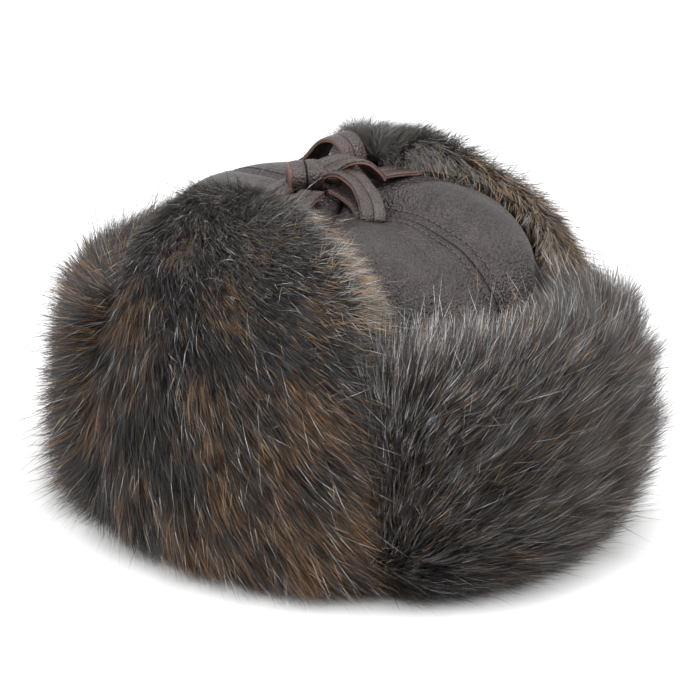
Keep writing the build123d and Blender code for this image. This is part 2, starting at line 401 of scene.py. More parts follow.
def cord_along(name, rows, radius_mm, body, material):
    """A fine round line laid along each row of points."""
    points, faces = [], []
    for row, normals in rows:
        along = np.gradient(row, axis=0)
        side = np.cross(along, normals)
        side /= np.linalg.norm(side, axis=1)[:, None]
        ends = np.r_[0.2, np.ones(len(row) - 2), 0.2][:, None, None] * radius_mm / 1000
        tube = row[:, None] + ends * (SIX[:, :1] * side[:, None] + SIX[:, 1:] * normals[:, None])
        base = sum(len(part) for part in points)
        faces += [[base + k for k in face] for face in tube_faces(len(row), 6, False)]
        points.append(tube.reshape(-1, 3))
    new_piece(name, np.vstack(points), faces, body, material)


thread = plain("thread", (0.085, 0.066, 0.058), 0.5, 0.4)
# Near black: painted shade in grooves and folds.
painted_recess_shade = plain("painted_recess_shade", (0.010, 0.008, 0.008), 0.8, 0.1)
stitched, sunk, seams = [], [], []
for seam in range(0, 360, 60):
    s = np.linspace(0.36, 0.955, 90)
    radius = at(CROWN_LINE, s)[:, 0]
    seams.append(surface_row(crown_surface, seam + 0 * s, s, 0.0))
    for away in (-FROM_SEAM_MM, FROM_SEAM_MM):
        headings = seam + np.degrees(away / radius)
        stitched.append(surface_row(crown_surface, headings, s, 0.12))
        sunk.append(surface_row(crown_surface, headings, s, -0.12))
stitches("crown_stitching", stitched, "crown", thread)
cord_along("crown_stitch_shade_lines", sunk, GROOVE_MM, "crown", painted_recess_shade)
cord_along("crown_seam_shade_lines", seams, SEAM_MM, "crown", painted_recess_shade)

# --------------------------------------------------------------------- inside
# Dark satin, quilted in diamonds over the wadding, in two halves joined from front to
# back; a ribbed sweatband lines the opening, and a leather binding closes the hem.
LINING_GAP_MM, LINING_MM, QUILT_MM = 3.7, 0.8, 26.0
LINING_RADIUS_MM, LINING_RISE_MM = 62.0, 190.0  # what the diamonds are counted over
WADDING_MM = (2.75, 3.55)  # how deep its two faces lie under the crown's side line


def cloth(name, colour, thread_mm, relief, roughness, sheen):
    """Woven cloth: fine crossed ribs as relief and a faint unevenness of colour."""
    material = plain(name, colour, roughness, 0.35)
    tree = material.node_tree
    shader = tree.nodes["Principled BSDF"]
    shader.inputs["Sheen Weight"].default_value = sheen
    coords = tree.nodes.new("ShaderNodeTexCoord")
    heights = []
    for way in ("X", "Z"):
        ribs = tree.nodes.new("ShaderNodeTexWave")
        ribs.bands_direction = way
        ribs.inputs["Scale"].default_value = 1000 / thread_mm / 20
        ribs.inputs["Distortion"].default_value = 1.5
        tree.links.new(coords.outputs["Object"], ribs.inputs["Vector"])
        heights.append(ribs.outputs["Fac"])
    total = tree.nodes.new("ShaderNodeMath")
    total.operation = "ADD"
    tree.links.new(heights[0], total.inputs[0])
    tree.links.new(heights[1], total.inputs[1])
    bump = tree.nodes.new("ShaderNodeBump")
    bump.inputs["Strength"].default_value = relief
    bump.inputs["Distance"].default_value = 0.0004
    tree.links.new(total.outputs[0], bump.inputs["Height"])
    tree.links.new(bump.outputs["Normal"], shader.inputs["Normal"])
    mottle = tree.nodes.new("ShaderNodeTexNoise")
    mottle.inputs["Scale"].default_value = 30.0
    ramp = tree.nodes.new("ShaderNodeValToRGB")
    ramp.color_ramp.elements[0].color = (*(0.8 * c for c in colour), 1)
    ramp.color_ramp.elements[1].color = (*(1.2 * c for c in colour), 1)
    tree.links.new(coords.outputs["Object"], mottle.inputs["Vector"])
    tree.links.new(mottle.outputs["Fac"], ramp.inputs["Fac"])
    tree.links.new(ramp.outputs["Color"], shader.inputs["Base Color"])
    return material


def quilted(degrees, s, depth_mm):
    """The lining's line with a soft hump inside every diamond of the stitching; the
    diamonds are squeezed towards the top, as the panels narrow."""
    point = at(line_offset(CROWN_LINE, -depth_mm), s)
    across = np.radians(degrees) * LINING_RADIUS_MM / QUILT_MM
    up = s * LINING_RISE_MM / QUILT_MM
    a, b = np.abs(np.sin(math.pi * (across + up) / 2)), np.abs(np.sin(math.pi * (across - up) / 2))
    hump = np.minimum(a, b) ** 0.6 * np.clip((1 - s) / 0.25, 0, 1)
    low = np.stack([1.8 * hump, 1.1 * hump + drawn_in(s)], axis=-1)
    return turned(point - low, degrees)


satin = cloth("lining_satin", (0.022, 0.018, 0.018), 0.5, 0.15, 0.38, 0.3)
for name, start in (("lining_right", 0), ("lining_left", 180)):
    degrees, s = np.broadcast_arrays(
        np.linspace(start + 0.2, start + 179.8, 161)[:, None], np.linspace(0, 1, 140)[None, :]
    )
    back_face = pushed(line_offset(CROWN_LINE, -LINING_GAP_MM), s, degrees, -drawn_in(s))
    points, faces = shell(back_face, quilted(degrees, s, LINING_GAP_MM + LINING_MM))
    lining = new_piece(name + "_quilt", points, faces, "crown", satin)
    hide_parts(name)

wadding_fibre = cloth("wadding_fibre", (0.05, 0.046, 0.044), 2.0, 0.5, 0.9, 0.0)
degrees, s = np.broadcast_arrays(
    np.linspace(0, 360, 120, endpoint=False)[:, None], np.linspace(0, 1, 90)[None, :]
)
over, under = (pushed(line_offset(CROWN_LINE, -mm), s, degrees, -drawn_in(s)) for mm in WADDING_MM)
ring = np.concatenate([over, under[:, ::-1]], axis=1)
wadding = new_piece(
    "crown_wadding_sheet",
    ring,
    np.array(tube_faces(*ring.shape[:2], True))[:, ::-1],
    "crown",
    wadding_fibre,
)
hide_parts("crown_wadding")

for node, material in (
    ("sweatband", cloth("sweatband_ribbed", (0.03, 0.026, 0.025), 1.1, 0.6, 0.7, 0.2)),
    ("hem_binding", crown_leather),
):
    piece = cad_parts[node]
    piece.data.materials.clear()
    piece.data.materials.append(material)

# -------------------------------------------------------------- fur of a flap
# Long brown fur: a dense greyish underfur close to the skin, and over it shiny guard
# hair, near black to golden brown with pale tips, that lies in locks along one way
# over each flap. Every hair is a narrow strip of two or three lengths that bends over.
# black, charcoal and silver lean to blue, painted reflection: the bluish sheen that dark hair shows
# under the sky.
HAIRS = {
    "black": (0.0100, 0.0100, 0.0118),
    "umber": (0.0185, 0.0158, 0.0152),
    "brown": (0.0380, 0.0270, 0.0200),
    "chestnut": (0.0920, 0.0490, 0.0245),
    "russet": (0.1750, 0.0870, 0.0340),
    "golden": (0.3100, 0.1720, 0.0640),
    "straw": (0.3300, 0.2400, 0.1500),
    "charcoal": (0.0460, 0.0455, 0.0500),
    "taupe": (0.0860, 0.0815, 0.0790),
    "fawn": (0.1700, 0.1580, 0.1460),
    "ash": (0.2600, 0.2500, 0.2450),
    "silver": (0.4800, 0.4800, 0.5000),
}
hair_materials = [plain("hair_" + name, colour, 0.4, 0.4) for name, colour in HAIRS.items()]
SHADE = {name: k for k, name in enumerate(HAIRS)}
HAIR_BOX = np.array([0.1385, 0.1565, 0.186])  # how far hairs may reach along +X, +Y, +Z
LOW_SIDE = np.array([1.0, 1.045, 0.0])  # the same on the negative sides, as a share


def pelt_material(name, dark, light):
    """Underfur seen between the hairs: two close tones in small streaky patches."""
    material = plain(name, dark, 0.85, 0.2)
    tree = material.node_tree
    coords = tree.nodes.new("ShaderNodeTexCoord")
    noise = tree.nodes.new("ShaderNodeTexNoise")
    noise.inputs["Scale"].default_value = 260.0
    noise.inputs["Detail"].default_value = 6.0
    ramp = tree.nodes.new("ShaderNodeValToRGB")
    ramp.color_ramp.elements[0].position = 0.35
    ramp.color_ramp.elements[1].position = 0.7
    ramp.color_ramp.elements[0].color = (*dark, 1)
    ramp.color_ramp.elements[1].color = (*light, 1)
    tree.links.new(coords.outputs["Object"], noise.inputs["Vector"])
    tree.links.new(noise.outputs["Fac"], ramp.inputs["Fac"])
    tree.links.new(ramp.outputs["Color"], tree.nodes["Principled BSDF"].inputs["Base Color"])
    return material


def curve_of(pairs):
    """A smooth function of a share from 0 to 1 through (share, value) pairs."""
    x, y = np.array(pairs, float).T
    k = np.linspace(0, 1, 200)
    base = np.interp(k, x, y)
    padded = np.pad(base, 12, mode="edge")
    soft = np.convolve(padded, np.hanning(25) / np.hanning(25).sum(), "same")[12:-12]
    return lambda s: np.interp(s, k, soft)


def roll(share, width):
    """0 at an edge rising to 1 in a quarter round over a share of the width."""
    return np.sqrt(np.clip(1 - (1 - np.clip(share / width, 0, 1)) ** 2, 0, 1))


def stretch(line, radius=0.0, height=1e9):
    """The part of a (radius, height) line from its foot to a radius or a height."""
    part = line[(line[:, 0] >= radius) & (line[:, 1] <= height)]
    run = np.r_[0, np.cumsum(np.linalg.norm(np.diff(part, axis=0), axis=1))]
    s = np.linspace(0, run[-1], 400)
    return np.stack([np.interp(s, run, part[:, k]) for k in (0, 1)], axis=1)


def unit(v):
    """Vectors scaled to length one."""
    return v / np.maximum(np.linalg.norm(v, axis=-1), 1e-9)[..., None]


def sample(grid, iu, iv, fu, fv):
    """Values of a grid inside its cells (iu, iv) at shares fu and fv across."""
    extra = (slice(None),) + (None,) * (grid.ndim - 2)
    fu, fv = fu[extra], fv[extra]
    low = grid[iu, iv] * (1 - fu) + grid[iu + 1, iv] * fu
    high = grid[iu, iv + 1] * (1 - fu) + grid[iu + 1, iv + 1] * fu
    return low * (1 - fv) + high * fv


def nearest_lock(u, v, size, rng):
    """For points of a plane, the nearest of a field of scattered lock centres, one in
    each square of side size, looked for in the nine squares around."""
    nx, ny = int(u.max() / size) + 4, int(v.max() / size) + 4
    shift = rng.uniform(0.05, 0.95, (nx, ny, 2))
    cx, cy = (u / size).astype(int), (v / size).astype(int)
    best = np.full(u.shape, 1e9)
    pick = np.zeros(u.shape + (2,))
    for dx in (-1, 0, 1):
        for dy in (-1, 0, 1):
            gx, gy = np.clip(cx + dx, 0, nx - 1), np.clip(cy + dy, 0, ny - 1)
            centre = (np.stack([gx, gy], -1) + shift[gx, gy]) * size
            gap = (centre[:, 0] - u) ** 2 + (centre[:, 1] - v) ** 2
            closer = gap < best
            best[closer], pick[closer] = gap[closer], centre[closer]
    return pick


def strands(name, body, grid, count, seed, way, length, tilt, width, shade, lock=(7.0, 0.3),
            lengths=3, dense=None, stray=6.0):
    """Hairs over a pad's outer face as strips that narrow to a point. way(u, v) is the
    angle they lie at, 0 towards the pad's second edge and 90 up it; length(u, v) is
    in mm; tilt is the lean off the skin at root and tip in degrees; width is at the
    root in mm; shade(u, v, noise, rng) picks each hair's colours, root to tip; lock
    is (size in mm, pull), how far tips gather to the middle of their lock; dense(u, v)
    thins the hairs out; stray is how far they wander from the way, in degrees."""
    rng = np.random.default_rng(seed)
    du, dv = np.gradient(grid, axis=0), np.gradient(grid, axis=1)
    facing = unit(np.cross(dv, du))
    out = grid - grid.mean(axis=(0, 1)) * [0.6, 0.6, 0.9]
    if np.einsum("ijk,ijk->", facing, out) < 0:
        facing = -facing
    cells = np.linalg.norm(np.cross(du, dv), axis=-1)[:-1, :-1]
    if dense:
        u, v = np.meshgrid(*(np.linspace(0, 1, n) for n in cells.shape), indexing="ij")
        cells = cells * dense(u, v)
    chance = np.cumsum(cells.ravel()) / cells.sum()
    cell = np.searchsorted(chance, rng.uniform(size=count)).clip(0, cells.size - 1)
    iu, iv = np.unravel_index(cell, cells.shape)
    fu, fv = rng.uniform(size=(2, count))
    root = sample(grid, iu, iv, fu, fv)
    n = unit(sample(facing, iu, iv, fu, fv))
    tu = unit(sample(unit(du), iu, iv, fu, fv))
    tv = unit(sample(unit(dv), iu, iv, fu, fv))
    tu, tv = unit(tu - n * np.sum(tu * n, -1)[:, None]), unit(tv - n * np.sum(tv * n, -1)[:, None])
    u = (iu + fu) / (grid.shape[0] - 1)
    v = (iv + fv) / (grid.shape[1] - 1)

    noise = waves(root, 0.028, seed + 1)
    fine = waves(root, 0.008, seed + 2)
    angle = np.radians(way(u, v) + 8 * noise + 5 * fine + rng.normal(0, stray, count))
    flow = unit(np.cos(angle)[:, None] * tu + np.sin(angle)[:, None] * tv)
    long = length(u, v) * rng.uniform(0.62, 1.12, count) / 1000
    size, pull = lock
    span_u = 1000 * np.linalg.norm(du, axis=-1).sum(axis=0).mean()
    span_v = 1000 * np.linalg.norm(dv, axis=-1).sum(axis=1).mean()
    centre = nearest_lock(u * span_u, v * span_v, size, rng)
    gather = (
        (centre[:, 0] - u * span_u)[:, None] * tu + (centre[:, 1] - v * span_v)[:, None] * tv
    ) * pull / 1000

    line = [root - n * 0.0012]
    lean0, lean1 = np.radians(tilt[0]), np.radians(tilt[1])
    spread = rng.normal(0, np.radians(5), count)
    for k in range(lengths):
        share = k / max(lengths - 1, 1)
        lean = lean0 + (lean1 - lean0) * share + spread
        step = np.cos(lean)[:, None] * flow + np.sin(lean)[:, None] * n
        droop = np.array([0, 0, -0.06 - 0.10 * share])
        nudge = gather * (0.15 + 0.85 * share) / lengths * 1.6
        line.append(line[-1] + (long / lengths)[:, None] * unit(step + droop) + nudge)
    line = np.stack(line, axis=1)
    reach, tip = line[:, -1] - root, HAIR_BOX * np.where(line[:, -1] > 0, 1, LOW_SIDE)
    spare = np.where(np.abs(line[:, -1]) > np.abs(tip), (tip - root) / reach, 1.0)
    line = root[:, None] + (line - root[:, None]) * spare.min(axis=1).clip(0.1, 1)[:, None, None]
    low = 0.0006 + 0.0012 * rng.uniform(size=count)
    line[..., 2] = np.maximum(line[..., 2], low[:, None])

    turn = rng.uniform(-1.0, 1.0, count)
    side = unit(np.cross(n, flow))
    across = np.cos(turn)[:, None] * side + np.sin(turn)[:, None] * n
    taper = np.array([1.0, 0.92, 0.6, 0.0]) if lengths == 3 else np.array([1.0, 0.75, 0.0])
    half = (width * rng.uniform(0.55, 1.6, count) / 2000)[:, None] * taper[:-1]
    left = line[:, :-1] + half[..., None] * across[:, None]
    right = line[:, :-1] - half[..., None] * across[:, None]
    per = 2 * lengths + 1
    points = np.empty((count, per, 3))
    points[:, 0 : 2 * lengths : 2], points[:, 1 : 2 * lengths : 2] = left, right
    points[:, -1] = line[:, -1]
    pattern = []
    for k in range(lengths - 1):
        a = 2 * k
        pattern += [[a, a + 1, a + 3], [a, a + 3, a + 2]]
    pattern.append([2 * lengths - 2, 2 * lengths - 1, 2 * lengths])
    pattern = np.array(pattern)
    triangles = (np.arange(count)[:, None, None] * per + pattern).reshape(-1, 3)
    tones = shade(u, v, noise, rng)
    which = [k for k in range(lengths - 1) for _ in range(2)] + [lengths - 1]
    picked = np.stack(tones, axis=1)[:, which].reshape(-1)

    mesh = bpy.data.meshes.new(name)
    mesh.vertices.add(count * per)
    mesh.vertices.foreach_set("co", points.reshape(-1).astype(np.float32))
    mesh.loops.add(triangles.size)
    mesh.loops.foreach_set("vertex_index", triangles.reshape(-1).astype(np.int32))
    mesh.polygons.add(len(triangles))
    mesh.polygons.foreach_set("loop_start", np.arange(0, triangles.size, 3, dtype=np.int32))
    for m in hair_materials:
        mesh.materials.append(m)
    mesh.polygons.foreach_set("material_index", picked.astype(np.int32))
    mesh.update()
    piece = bpy.data.objects.new(name, mesh)
    bpy.context.scene.collection.objects.link(piece)
    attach(piece, body)
    return piece


def shades(table):
    """A shade picker. table holds (weight function of u, v and noise, colours from
    root to tip) rows; each hair draws a row by weight."""
    weights = [row[0] for row in table]
    tones = np.array([[SHADE[name] for name in row[1].split()] for row in table])

    def pick(u, v, noise, rng):
        w = np.stack([np.broadcast_to(f(u, v, noise), u.shape) for f in weights], axis=1)
        w = np.maximum(w, 0)
        ladder = np.cumsum(w, axis=1) / w.sum(axis=1)[:, None]
        row = (rng.uniform(size=u.size)[:, None] > ladder).sum(axis=1).clip(0, len(table) - 1)
        return [tones[row, k] for k in range(tones.shape[1])]

    return pick


# ------------------------------------------------------------ visor and flaps
# Each is a ply of the crown's leather folded up at the hem with a thick pelt on its
# outer side. u runs across a flap, from its front edge to its back one (for the visor
# and neck flap towards larger headings), and v from the hem to its top.
PLY_MM, FUR_MM = (2.2, 3.5), 3.6
PELT = pelt_material("underfur", (0.030, 0.025, 0.023), (0.095, 0.083, 0.073))


def constant(value):
    """A function that is the same at every share."""
    return lambda s: np.full(np.shape(s), float(value))


def smooth(x, low, high):
    """0 below low rising softly to 1 above high."""
    k = np.clip((x - low) / (high - low), 0, 1)
    return k * k * (3 - 2 * k)


def flat(u, s):
    """A flap that lies close all over."""
    return 0 * u


def ear_edge(radii, headings, end=48):
    """An ear flap's edge: its heading by the radius reached; the flap narrows to a
    rounded tip at the radius end."""
    line = stretch(line_offset(CROWN_LINE, FUR_MM), radius=end)
    return lambda s: np.interp(at(line, s)[..., 0], radii, headings)


def flap_leather(name, body, line, front, back, rise=flat):
    """A flap's leather ply: a smooth skin following line, between two headings, with
    its corners rounded off, standing rise mm further out than it would lie."""
    u, s = np.broadcast_arrays(np.linspace(0, 1, 90)[:, None], np.linspace(0, 1, 140)[None, :])
    degrees = front(s) + (back(s) - front(s)) * u
    corner = 1 - 0.06 * (1 - roll(np.minimum(u, 1 - u), 0.12))
    skins = [pushed(line, s * corner, degrees, mm + rise(u, s)) for mm in PLY_MM]
    points, faces = shell(skins[1], skins[0])
    ply = new_piece(name + "_skin", points, faces, body, crown_leather)
    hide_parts(name)


def pad_surface(line, front, back, thick, edge, foot, top, rise=flat, rows=140, columns=150):
    """Grids of a fur pad's outer face and of the skin under it. It follows line from
    the hem up, between two headings that vary up the line, and swells to thick mm
    above rise, rolled down to nothing along its four edges; edge is the width of the
    front and the back roll."""
    u, s = np.broadcast_arrays(
        np.linspace(0, 1, columns)[:, None], np.linspace(0, 1, rows)[None, :]
    )
    u = (1 - np.cos(math.pi * u)) / 2
    degrees = front(s) + (back(s) - front(s)) * u
    swell = thick(u, s) * roll(u, edge[0]) * roll(1 - u, edge[1]) * roll(s, foot) * roll(1 - s, top)
    base = rise(u, s)
    rough = pushed(line, s, degrees, base + swell)
    swell = swell * (1 + 0.06 * waves(rough, 0.03, 5) + 0.03 * waves(rough, 0.009, 6))
    outer = pushed(line, s, degrees, base + swell)
    outer[..., 2] = np.maximum(outer[..., 2], 0.0008)
    return outer, pushed(line, s, degrees, base)


def flap_fur(name, body, grids, sets):
    """A flap's pelt: the closed pad under the hair, and its sets of hairs."""
    points, faces = shell(*grids)
    pad = new_piece(name + "_underfur", points, faces, body, PELT)
    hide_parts(name)
    for k, (count, values) in enumerate(sets):
        strands(f"{name}_{k}", body, grids[0], count, **values)


fur_line = line_offset(CROWN_LINE, FUR_MM)
visor_line, neck_line = stretch(fur_line, height=103), stretch(fur_line, height=106)
ear_line = stretch(fur_line, radius=48)

ear_shade = shades(
    [
        (lambda u, v, n: 0.9 - 0.5 * v - 0.5 * n, "black umber umber"),
        (lambda u, v, n: 0.9 - 0.5 * v - 0.5 * n, "black black black"),
        (lambda u, v, n: 0.6 - 0.4 * v + 0.2 * n, "umber umber brown"),
        (
            lambda u, v, n: smooth(v, 0.8, 0.35) * (0.75 - 0.65 * u + 0.7 * n),
            "black chestnut russet",
        ),
        (lambda u, v, n: 0.6 * smooth(0.6 * u + v, 0.75, 0.2) + 0.3 * n, "umber chestnut russet"),
        (lambda u, v, n: 0.45 * smooth(0.6 * u + v, 0.75, 0.2) + 0.2 * n, "brown russet golden"),
        (lambda u, v, n: 0.12 + 0.25 * v, "umber charcoal taupe"),
        (lambda u, v, n: 0.03 + 0.9 * smooth(v, 0.55, 0.9), "charcoal taupe taupe"),
        (lambda u, v, n: 0.01 + 0.7 * smooth(v, 0.7, 0.95), "charcoal taupe fawn"),
        (lambda u, v, n: 0.014 + 0 * u, "umber taupe silver"),
    ]
)
far_shade = shades(
    [
        (lambda u, v, n: 0.8 - 0.3 * n, "black umber umber"),
        (lambda u, v, n: 0.7 + 0.3 * n, "umber umber brown"),
        (lambda u, v, n: 0.7 - 0.4 * u + 0.4 * n, "umber brown chestnut"),
        (lambda u, v, n: 0.2 + 2.0 * bell(u, 0, 0.4) * bell(v, 0.55, 0.25), "brown russet golden"),
        (lambda u, v, n: 0.05 + 2.0 * bell(u, 0, 0.5) * bell(v, 0.62, 0.3), "brown russet straw"),
        (lambda u, v, n: 0.1 + 0.3 * v, "umber charcoal taupe"),
        (lambda u, v, n: 0.03 + 0.9 * smooth(v, 0.55, 0.9), "charcoal taupe taupe"),
        (lambda u, v, n: 0.01 + 0.7 * smooth(v, 0.7, 0.95), "charcoal taupe fawn"),
    ]
)
fluff_shade = shades(
    [
        (lambda u, v, n: 1.0 + 0 * u, "taupe fawn"),
        (lambda u, v, n: 0.8 + 0.5 * n, "fawn fawn"),
        (lambda u, v, n: 0.8 - 0.5 * n, "charcoal taupe"),
        (lambda u, v, n: 0.25 + 0 * u, "fawn ash"),
        (lambda u, v, n: 0.3 + 0.3 * n, "brown taupe"),
    ]
)
edge_shade = shades(
    [
        (lambda u, v, n: 0.6 + 0.4 * n, "taupe straw"),
        (lambda u, v, n: 0.8 + 0 * u, "taupe fawn"),
        (lambda u, v, n: 0.35 + 0.3 * n, "brown golden"),
        (lambda u, v, n: 0.5 + 0 * u, "fawn ash"),
    ]
)
pale_shade = shades(
    [
        (lambda u, v, n: 0.6 + 0 * u, "brown fawn silver"),
        (lambda u, v, n: 0.7 + 0 * u, "umber brown straw"),
        (lambda u, v, n: 1.5 + 0 * u, "black umber umber"),
    ]
)
dusky_shade = shades([(lambda u, v, n: 1 + 0 * u, "umber charcoal")])


def ear_way(u, v):
    """How the near ear flap's hair lies: back at the top, down and back lower on, and
    fanned out at the two side edges."""
    fan = 58 * u**1.8 - 22 * bell(u, 0, 0.12) * smooth(v, 0.85, 0.6)
    return 172 + 25 * smooth(v, 0.95, 0.55) + fan


def far_way(u, v):
    """The far ear flap's hair, which turns down towards its front edge."""
    return ear_way(u, v) + 55 * bell(u, 0, 0.3) * smooth(v, 0.98, 0.8)


guard = dict(tilt=(40, 14), width=0.24)
stray_hair = dict(tilt=(52, 34), width=0.22, shade=pale_shade, lock=(7.0, 0.0), stray=22)
fluff = dict(tilt=(74, 40), width=0.3, shade=fluff_shade, lock=(5.0, 0.4), lengths=2, stray=30)
dusky, beige = {**fluff, "shade": dusky_shade}, {**fluff, "shade": edge_shade}

# The ear flaps' side edges: radii in mm and the headings reached there on the right
# flap, and how many degrees of bare leather show in front of each flap's fur.
FRONT_RADII, BACK_RADII = (48, 50, 62, 78, 96, 104), (48, 52, 70, 93, 103)
FRONT_DEG, BACK_DEG = np.array((79, 74, 67, 54, 46, 45.4)), (108, 114, 127, 127, 118)
FUR_BACK_DEG = (106.5, 112, 126, 126, 117.2)
BARE_DEG = {"right": (1.5, 1.5, 1.5, 1.5, 1.2, 1.0), "left": (13, 16, 17, 14, 7, 1.5)}

for side, word in ((1, "right"), (-1, "left")):
    body = f"ear_flap_{word}"
    turn = lambda table: [h if side > 0 else 360 - h for h in table]
    front = ear_edge(FRONT_RADII, turn(FRONT_DEG), 46)
    back = ear_edge(BACK_RADII, turn(BACK_DEG), 46)
    fur_front = ear_edge(FRONT_RADII, turn(FRONT_DEG + BARE_DEG[word]))
    fur_back = ear_edge(BACK_RADII, turn(FUR_BACK_DEG))
    stand, width = (2.5, 0.36) if side > 0 else (6.0, 0.26)

    def rise(u, s):
        """Clears the gores' puffs, and curls the front edge off the crown."""
        curl = np.clip(1 - u / width, 0, 1) ** 1.4
        return 2.2 * smooth(s, 0.5, 0.72) + stand * curl * bell(s, 0.76, 0.16)

    ply_line = stretch(CROWN_LINE, radius=46)
    flap_leather(f"ear_flap_{word}_leather", body, ply_line, front, back, rise)
    top = (17, 11.5, 6.5, 6, 5.5) if side > 0 else (16, 9.5, 6, 8.5, 11)
    depth = curve_of([(0, 20), (0.35, 20), *zip((0.5, 0.62, 0.75, 0.9, 1), top)])
    thick = lambda u, s: depth(s)
    grids = pad_surface(ear_line, fur_front, fur_back, thick, (0.14, 0.1), 0.26, 0.08, rise)
    way = ear_way if side > 0 else far_way
    front_mm = 10 if side > 0 else 2
    long = lambda u, v: (
        28 - 13 * smooth(v, 0.5, 0.8) + front_mm * bell(u, 0, 0.2) * bell(v, 0.55, 0.14)
    )
    tuft = 13 if side > 0 else 17
    common = dict(way=way, length=long, shade=ear_shade if side > 0 else far_shade, **guard)
    common["dense"] = lambda u, v: 1 - 0.65 * smooth(v, 0.86, 0.97)
    soft = dict(way=way, length=lambda u, v: tuft - 2 * v, **fluff)
    soft["dense"] = lambda u, v: (
        0.08 + 1.2 * smooth(v, 0.84, 0.97) + (0.9 if side > 0 else 0.2) * bell(u, 0, 0.07)
        + 2.6 * bell(u, 0.95, 0.09) * smooth(v, 0.45, 0.6)
    )
    edge = dict(way=way, length=lambda u, v: 19 + 0 * u, **beige)
    edge["dense"] = lambda u, v: bell(u, 0, 0.1) * bell(v, 0.58, 0.2)
    flap_fur(
        f"ear_flap_{word}_fur",
        body,
        grids,
        [
            (34000, dict(seed=11 + side, **common)),
            (34000, dict(seed=21 + side, **common)),
            (32000, dict(seed=51 + side, **soft)),
            (2600, dict(seed=61 + side, way=way, length=lambda u, v: 47 - 22 * v, **stray_hair)),
            (9500 if side > 0 else 5000, dict(seed=71 + side, **edge)),
        ],
    )

VISOR_DEG, VISOR_FUR_DEG, VISOR_THICK_MM = 44.2, 43.6, 25
ply_line = stretch(CROWN_LINE, height=103)
flap_leather("visor_leather", "visor", ply_line, constant(-VISOR_DEG), constant(VISOR_DEG))
edges = constant(-VISOR_FUR_DEG), constant(VISOR_FUR_DEG)
grids = pad_surface(
    visor_line, *edges, lambda u, s: VISOR_THICK_MM + 0 * u, (0.12, 0.12), 0.5, 0.16
)


def painted_sheen_corner(u, v, low, high):
    """The visor's corner of pale-tipped hair, also painted sheen for the whitish shine there, from
    0 rising to 1 towards its top left.
    """
    return smooth(0.6 * u + 0.5 * v, low, high)


# The cool charcoal, taupe and ash rows are partly the fur's own tone and partly painted sheen, a
# bluish grey shine; the silver rows towards the top left are painted sheen.
visor_shade = shades(
    [
        (lambda u, v, n: 0.7 + 0.3 * n, "black umber umber"),
        (lambda u, v, n: 0.6 - 0.3 * n, "black black umber"),
        (lambda u, v, n: 0.8 - 0.3 * u + 0.3 * n, "umber brown brown"),
        (lambda u, v, n: 0.7 - 0.4 * u + 0.3 * n, "umber brown chestnut"),
        (lambda u, v, n: 0.3 - 0.15 * u + 0.2 * n, "brown chestnut russet"),
        (lambda u, v, n: 0.8 + 0.2 * u - 0.2 * n, "umber charcoal taupe"),
        (lambda u, v, n: 0.6 - 0.3 * u - 0.2 * n, "charcoal taupe ash"),
        (lambda u, v, n: 0.06 + 0.8 * painted_sheen_corner(u, v, 0.7, 1.05), "charcoal taupe silver"),
        (lambda u, v, n: 0.02 + 0.5 * painted_sheen_corner(u, v, 0.75, 1.1), "charcoal ash silver"),
    ]
)
visor_way = lambda u, v: 97 + 55 * (1 - u) ** 0.8 + 35 * smooth(v, 0.3, 0)
long = lambda u, v: 33 - 8 * smooth(v, 0.35, 0)
common = dict(way=visor_way, shade=visor_shade, length=long, **guard)
flap_fur(
    "visor_fur",
    "visor",
    grids,
    [
        (36000, dict(seed=31, **common)),
        (34000, dict(seed=32, **common)),
        (9000, dict(seed=33, way=visor_way, length=lambda u, v: 13 + 0 * u, **dusky)),
        (2000, dict(seed=34, way=visor_way, length=lambda u, v: 36 + 12 * v, **stray_hair)),
    ],
)

NECK_DEG, NECK_FUR_DEG, NECK_THICK_MM = (119, 241), (119.6, 240.4), 21
ply_line = stretch(CROWN_LINE, height=106)
flap_leather("neck_flap_leather", "neck_flap", ply_line, *map(constant, NECK_DEG))
edges = map(constant, NECK_FUR_DEG)
grids = pad_surface(
    neck_line, *edges, lambda u, s: NECK_THICK_MM + 0 * u, (0.08, 0.08), 0.3, 0.16
)
neck_shade = shades(
    [
        (lambda u, v, n: 3.6 - 0.3 * n, "black black black"),
        (lambda u, v, n: 1.0 - 0.3 * n, "black umber umber"),
        (lambda u, v, n: 0.6 + 0.3 * n, "umber brown chestnut"),
        (lambda u, v, n: 0.3 + 0.4 * bell(u, 0, 0.3) + 0.3 * n, "black chestnut russet"),
        (lambda u, v, n: 0.1 + 0.4 * bell(u, 0, 0.3), "umber russet golden"),
        (lambda u, v, n: 0.2 + 0.1 * v, "umber charcoal charcoal"),
        (lambda u, v, n: 0.3 * smooth(v, 0.7, 1), "umber taupe straw"),
    ]
)
neck_way = lambda u, v: 332 + 30 * smooth(v, 0.5, 1)
common = dict(way=neck_way, shade=neck_shade, length=lambda u, v: 30 + 0 * u, **guard)
flap_fur(
    "neck_flap_fur",
    "neck_flap",
    grids,
    [
        (33000, dict(seed=41, **common)),
        (33000, dict(seed=42, **common)),
        (9000, dict(seed=43, way=neck_way, length=lambda u, v: 12 + 0 * u, **dusky)),
        (2600, dict(seed=44, way=neck_way, length=lambda u, v: 46 + 0 * u, **stray_hair)),
    ],
)

# ---------------------------------------------------------------- ties and bow
# The ear flaps' ties are strips of the same leather folded double and stitched down
# the middle, with paler raw edges, and are knotted in a bow over the crown's top.
TIE_MM, TIE_DEEP_MM, NOTCH_MM = 12.0, 2.6, 0.7
BOW_SINK_MM = 3.0  # how far the bow has sunk into the drawn-in top
tie_leather = leather("tie_leather", (0.048, 0.0335, 0.0315), 0.0009, 0.6, 0.30)
raw_edge = plain("raw_edge", (0.150, 0.082, 0.068), 0.7, 0.2)


